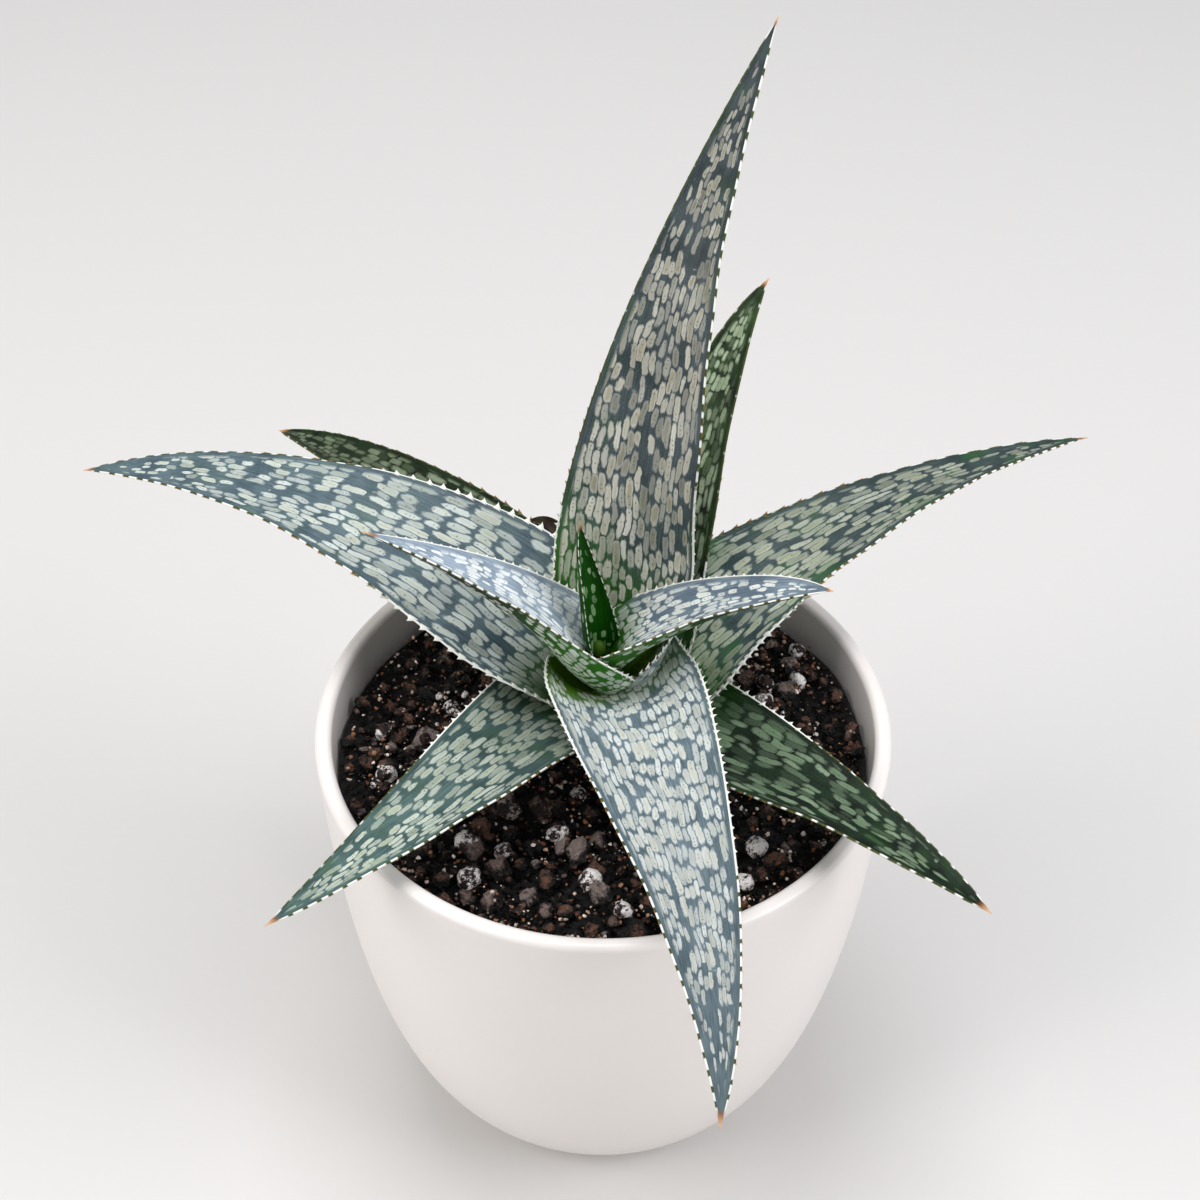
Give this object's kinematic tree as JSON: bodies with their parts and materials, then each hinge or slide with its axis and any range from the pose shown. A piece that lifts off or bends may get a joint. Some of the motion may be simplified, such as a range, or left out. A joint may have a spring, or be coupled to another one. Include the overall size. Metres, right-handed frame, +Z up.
{
  "type": "potted aloe",
  "caption": "Small aloe rosette of white-spotted, spiny-edged tapering leaves, rooted in dark potting mix in a plain white ceramic bowl-shaped pot.",
  "frame": {"origin": "centre of the pot's flat foot, on the surface it stands on", "axes": "+Z up through the pot's middle; -Y towards the viewer, where the drooping front leaf hangs over the rim; +X to the viewer's right"},
  "size_m": [0.2263, 0.1935, 0.2296],
  "materials": {
    "ceramic": "satin",
    "potting_mix": "matte",
    "stem": "matte",
    "leaf_heart": "satin",
    "leaf_silver": "satin",
    "leaf_green": "satin",
    "leaf_dry": "matte"
  },
  "bodies": {
    "root": {"pot": "ceramic", "soil": "potting_mix", "stem": "stem", "leaf_bud": "leaf_heart", "leaf_right_inner": "leaf_silver", "leaf_left_inner": "leaf_silver", "leaf_back_tall": "leaf_silver", "leaf_front": "leaf_silver", "leaf_left": "leaf_silver", "leaf_right": "leaf_silver", "leaf_front_left": "leaf_green", "leaf_front_right": "leaf_green", "leaf_back_right": "leaf_green", "leaf_back_left": "leaf_green", "leaf_withered": "leaf_dry"}
  },
  "joints": []
}
